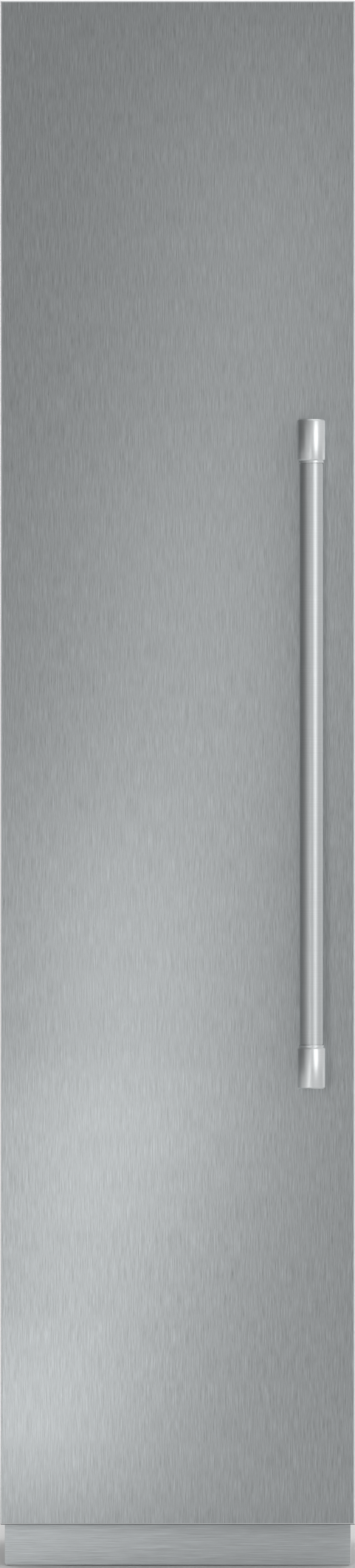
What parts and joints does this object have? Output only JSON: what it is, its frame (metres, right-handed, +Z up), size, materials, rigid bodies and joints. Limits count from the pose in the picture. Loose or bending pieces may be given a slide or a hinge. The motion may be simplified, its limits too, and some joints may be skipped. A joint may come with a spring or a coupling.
{
  "type": "built-in column freezer",
  "caption": "Tall narrow built-in freezer with a brushed steel door on left-hand pins, a round bar handle, a steel toe-kick, inner shelves, drawers, door bins and an ice maker.",
  "frame": {"origin": "on the floor, at the middle of the outer width and depth", "axes": "+Z up, -Y out of the door, +X to the handle side"},
  "size_m": [0.457, 0.69, 2.016],
  "materials": {
    "brushed_stainless": "brushed",
    "turned_stainless": "finely turned",
    "polished_stainless": "polished",
    "galvanised_sheet": "satin",
    "frame_grey": "satin",
    "foam": "matt",
    "liner_steel": "satin",
    "door_plastic": "satin",
    "seal_grey": "matt",
    "hinge_steel": "satin",
    "acetal": "matt",
    "zinc": "plated",
    "clear_plastic": "clear",
    "shelf_glass": "clear",
    "black_enamel": "satin",
    "mount_rubber": "matt",
    "fin_aluminium": "satin",
    "copper": "satin",
    "black_plastic": "matt",
    "grey_plastic": "matt",
    "white_plastic": "matt",
    "lamp": "diffusing",
    "panel_black": "gloss",
    "runner_steel": "satin"
  },
  "bodies": {
    "cabinet": {"toe_kick": "brushed_stainless", "outer_case": "galvanised_sheet", "cabinet_foam": "foam", "freezer_liner": "liner_steel", "face_frame": "frame_grey", "upper_hinge": "hinge_steel", "lower_hinge": "hinge_steel", "hinge_screws": "zinc", "base_pan": "galvanised_sheet", "machine_grille": "frame_grey", "compressor": "black_enamel", "compressor_mounts": "mount_rubber", "condenser": "black_enamel", "condenser_fan_frame": "black_plastic", "drip_tray": "black_plastic", "control_box": "grey_plastic", "cord_gland": "black_plastic", "water_valve": "white_plastic", "pipework": "copper", "low_shelf": "shelf_glass", "middle_shelf": "shelf_glass", "high_shelf": "shelf_glass", "shelf_supports": "white_plastic", "evaporator_cover": "door_plastic", "evaporator": "fin_aluminium", "light_bars": "lamp", "control_panel": "panel_black", "runner_rails": "runner_steel", "ice_maker": "grey_plastic"},
    "door": {"door_panel": "brushed_stainless", "door_frame": "grey_plastic", "door_foam": "foam", "door_liner": "door_plastic", "door_gasket": "seal_grey", "pivot_brackets": "hinge_steel", "pivot_bushes": "acetal", "handle_bar": "turned_stainless", "upper_handle_cap": "polished_stainless", "lower_handle_cap": "polished_stainless", "handle_posts": "polished_stainless", "handle_bolts": "zinc"},
    "low_bin": {"low_door_bin": "clear_plastic"},
    "middle_bin": {"middle_door_bin": "clear_plastic"},
    "high_bin": {"high_door_bin": "clear_plastic"},
    "lower_drawer": {"lower_drawer": "clear_plastic"},
    "upper_drawer": {"upper_drawer": "clear_plastic"},
    "lower_slides": {"lower_runners": "runner_steel"},
    "upper_slides": {"upper_runners": "runner_steel"},
    "ice_bin": {"ice_bin": "clear_plastic"},
    "evaporator_rotor": {"evaporator_fan": "grey_plastic"},
    "condenser_rotor": {"condenser_fan": "black_plastic"},
    "ejector": {"ice_ejector": "white_plastic"},
    "feeler": {"ice_feeler_arm": "zinc"},
    "power_key": {"power_button": "grey_plastic"},
    "colder_key": {"colder_button": "grey_plastic"},
    "warmer_key": {"warmer_button": "grey_plastic"},
    "left_wheel": {"left_wheel": "black_plastic"},
    "right_wheel": {"right_wheel": "black_plastic"},
    "left_foot": {"left_foot": "black_plastic"},
    "right_foot": {"right_foot": "black_plastic"}
  },
  "joints": [
    {"name": "door_swing", "type": "hinge", "parent": "cabinet", "child": "door", "pos_m": [-0.2165, -0.271, 1.0355], "axis": [0, 0, -1], "range_deg": [0, 115]},
    {"name": "low_bin_lift", "type": "slide", "parent": "door", "child": "low_bin", "axis": [0, 0, 1], "range_m": [0, 0.03]},
    {"name": "middle_bin_lift", "type": "slide", "parent": "door", "child": "middle_bin", "axis": [0, 0, 1], "range_m": [0, 0.03]},
    {"name": "high_bin_lift", "type": "slide", "parent": "door", "child": "high_bin", "axis": [0, 0, 1], "range_m": [0, 0.03]},
    {"name": "lower_drawer_slide", "type": "slide", "parent": "cabinet", "child": "lower_drawer", "axis": [0, -1, 0], "range_m": [0, 0.201]},
    {"name": "lower_runner_slide", "type": "slide", "parent": "cabinet", "child": "lower_slides", "axis": [0, -1, 0], "range_m": [0, 0.1005]},
    {"name": "upper_drawer_slide", "type": "slide", "parent": "cabinet", "child": "upper_drawer", "axis": [0, -1, 0], "range_m": [0, 0.201]},
    {"name": "upper_runner_slide", "type": "slide", "parent": "cabinet", "child": "upper_slides", "axis": [0, -1, 0], "range_m": [0, 0.1005]},
    {"name": "ice_bin_slide", "type": "slide", "parent": "cabinet", "child": "ice_bin", "axis": [0, -1, 0], "range_m": [0, 0.201]},
    {"name": "evaporator_fan_spin", "type": "hinge", "parent": "cabinet", "child": "evaporator_rotor", "pos_m": [0, 0.228, 1.02988], "axis": [0, 1, 0], "continuous": true},
    {"name": "condenser_fan_spin", "type": "hinge", "parent": "cabinet", "child": "condenser_rotor", "pos_m": [-0.0535, -0.1125, 0.129], "axis": [0, 1, 0], "continuous": true},
    {"name": "ejector_turn", "type": "hinge", "parent": "cabinet", "child": "ejector", "pos_m": [-0.119, -0.061, 1.74], "axis": [0, 1, 0], "continuous": true},
    {"name": "feeler_swing", "type": "hinge", "parent": "cabinet", "child": "feeler", "pos_m": [-0.06, -0.041, 1.717], "axis": [1, 0, 0], "range_deg": [0, 25]},
    {"name": "power_press", "type": "slide", "parent": "cabinet", "child": "power_key", "axis": [0, 1, 0], "range_m": [0, 0.001], "stiffness_N_per_m": 300},
    {"name": "colder_press", "type": "slide", "parent": "cabinet", "child": "colder_key", "axis": [0, 1, 0], "range_m": [0, 0.001], "stiffness_N_per_m": 300},
    {"name": "warmer_press", "type": "slide", "parent": "cabinet", "child": "warmer_key", "axis": [0, 1, 0], "range_m": [0, 0.001], "stiffness_N_per_m": 300},
    {"name": "left_wheel_roll", "type": "hinge", "parent": "cabinet", "child": "left_wheel", "pos_m": [-0.1815, 0.293, 0.022], "axis": [1, 0, 0], "continuous": true},
    {"name": "right_wheel_roll", "type": "hinge", "parent": "cabinet", "child": "right_wheel", "pos_m": [0.1815, 0.293, 0.022], "axis": [1, 0, 0], "continuous": true},
    {"name": "left_foot_level", "type": "slide", "parent": "cabinet", "child": "left_foot", "axis": [0, 0, -1], "range_m": [0, 0.03]},
    {"name": "right_foot_level", "type": "slide", "parent": "cabinet", "child": "right_foot", "axis": [0, 0, -1], "range_m": [0, 0.03]}
  ],
  "couplings": [
    {"joint": "lower_drawer_slide", "follows": "door_swing", "m_per_rad": 0.1},
    {"joint": "upper_drawer_slide", "follows": "door_swing", "m_per_rad": 0.1},
    {"joint": "lower_runner_slide", "follows": "door_swing", "m_per_rad": 0.05},
    {"joint": "upper_runner_slide", "follows": "door_swing", "m_per_rad": 0.05},
    {"joint": "ice_bin_slide", "follows": "door_swing", "m_per_rad": 0.1}
  ]
}
